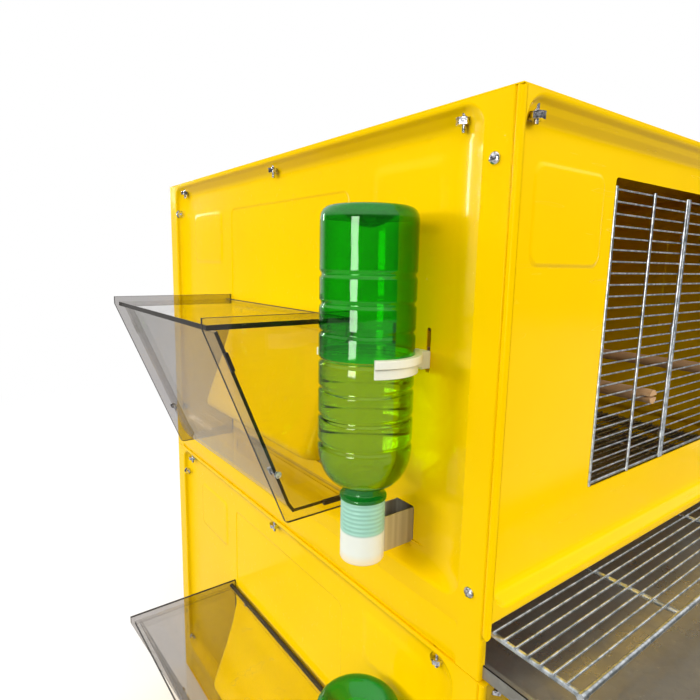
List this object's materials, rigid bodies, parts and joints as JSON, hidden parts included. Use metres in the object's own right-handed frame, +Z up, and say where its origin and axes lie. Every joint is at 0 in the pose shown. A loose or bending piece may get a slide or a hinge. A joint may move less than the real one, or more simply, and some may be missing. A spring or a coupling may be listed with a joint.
{
  "type": "canary breeding cage",
  "caption": "Stack of two pressed-steel canary breeding cages with wire fronts, drawn-out floor grilles and trays, outside seed hoppers and bottle drinkers.",
  "frame": {"origin": "middle of the bottom sheet's underside, where the stack stands", "axes": "+X to the right along the front, -Y out of the front, +Z up"},
  "size_m": [0.7227, 0.7002, 0.741],
  "materials": {
    "yellow_paint": "semi-gloss powder coat",
    "zinc_wire": "bright zinc plating",
    "galvanised_sheet": "galvanised, faintly spangled",
    "beech": "raw turned beech",
    "smoked_acrylic": "clear, lightly smoked, polished",
    "green_bottle": "clear green, glossy",
    "milky_plastic": "milky, translucent",
    "white_plastic": "satin moulding",
    "stainless_sheet": "bright stainless",
    "zinc_fastener": "zinc plated"
  },
  "bodies": {
    "cage": {"base_panel": "yellow_paint", "lower_end_panel_left": "yellow_paint", "lower_end_panel_right": "yellow_paint", "lower_back_panel": "yellow_paint", "lower_roof_panel": "yellow_paint", "lower_front_panel": "yellow_paint", "lower_grille_left": "zinc_wire", "lower_grille_right": "zinc_wire", "lower_grille_runners": "galvanised_sheet", "lower_perches": "beech", "lower_hopper_near_plate": "smoked_acrylic", "lower_hopper_far_plate": "smoked_acrylic", "lower_hopper_front_sheet": "smoked_acrylic", "lower_feed_baffle": "yellow_paint", "lower_hopper_screws": "zinc_fastener", "lower_drinker_cup": "milky_plastic", "lower_drinker_trough": "stainless_sheet", "lower_bottle_clip": "white_plastic", "lower_roof_screws": "zinc_fastener", "lower_corner_screws": "zinc_fastener", "lower_back_screws": "zinc_fastener", "lower_nuts": "zinc_fastener", "upper_end_panel_left": "yellow_paint", "upper_end_panel_right": "yellow_paint", "upper_back_panel": "yellow_paint", "upper_roof_panel": "yellow_paint", "upper_front_panel": "yellow_paint", "upper_grille_left": "zinc_wire", "upper_grille_right": "zinc_wire", "upper_grille_runners": "galvanised_sheet", "upper_perches": "beech", "upper_hopper_near_plate": "smoked_acrylic", "upper_hopper_far_plate": "smoked_acrylic", "upper_hopper_front_sheet": "smoked_acrylic", "upper_feed_baffle": "yellow_paint", "upper_hopper_screws": "zinc_fastener", "upper_drinker_cup": "milky_plastic", "upper_drinker_trough": "stainless_sheet", "upper_bottle_clip": "white_plastic", "upper_roof_screws": "zinc_fastener", "upper_corner_screws": "zinc_fastener", "upper_back_screws": "zinc_fastener", "upper_nuts": "zinc_fastener"},
    "lower_door": {"lower_door": "zinc_wire"},
    "lower_floor_grille": {"lower_floor_grille": "zinc_wire"},
    "lower_tray": {"lower_tray": "galvanised_sheet"},
    "lower_lid": {"lower_hopper_lid": "smoked_acrylic"},
    "lower_bottle": {"lower_bottle": "green_bottle"},
    "upper_door": {"upper_door": "zinc_wire"},
    "upper_floor_grille": {"upper_floor_grille": "zinc_wire"},
    "upper_tray": {"upper_tray": "galvanised_sheet"},
    "upper_lid": {"upper_hopper_lid": "smoked_acrylic"},
    "upper_bottle": {"upper_bottle": "green_bottle"}
  },
  "joints": [
    {"name": "lower_lid_hinge", "type": "hinge", "parent": "cage", "child": "lower_lid", "pos_m": [-0.2945, -0.0055, 0.225], "axis": [0, 1, 0], "range_deg": [0, 90]},
    {"name": "lower_door_hinge", "type": "hinge", "parent": "cage", "child": "lower_door", "pos_m": [-0.059, -0.28, 0.216], "axis": [0, 0, -1], "range_deg": [0, 110]},
    {"name": "lower_bottle_lift", "type": "slide", "parent": "cage", "child": "lower_bottle", "axis": [0, 0, 1], "range_m": [0, 0.048]},
    {"name": "lower_floor_grille_slide", "type": "slide", "parent": "cage", "child": "lower_floor_grille", "axis": [0, -1, 0], "range_m": [-0.06, 0.3]},
    {"name": "lower_tray_slide", "type": "slide", "parent": "cage", "child": "lower_tray", "axis": [0, -1, 0], "range_m": [-0.11, 0.33]},
    {"name": "upper_lid_hinge", "type": "hinge", "parent": "cage", "child": "upper_lid", "pos_m": [-0.2945, -0.0055, 0.595], "axis": [0, 1, 0], "range_deg": [0, 90]},
    {"name": "upper_door_hinge", "type": "hinge", "parent": "cage", "child": "upper_door", "pos_m": [-0.059, -0.28, 0.586], "axis": [0, 0, -1], "range_deg": [0, 110]},
    {"name": "upper_bottle_lift", "type": "slide", "parent": "cage", "child": "upper_bottle", "axis": [0, 0, 1], "range_m": [0, 0.048]},
    {"name": "upper_floor_grille_slide", "type": "slide", "parent": "cage", "child": "upper_floor_grille", "axis": [0, -1, 0], "range_m": [-0.06, 0.3]},
    {"name": "upper_tray_slide", "type": "slide", "parent": "cage", "child": "upper_tray", "axis": [0, -1, 0], "range_m": [-0.11, 0.33]}
  ]
}
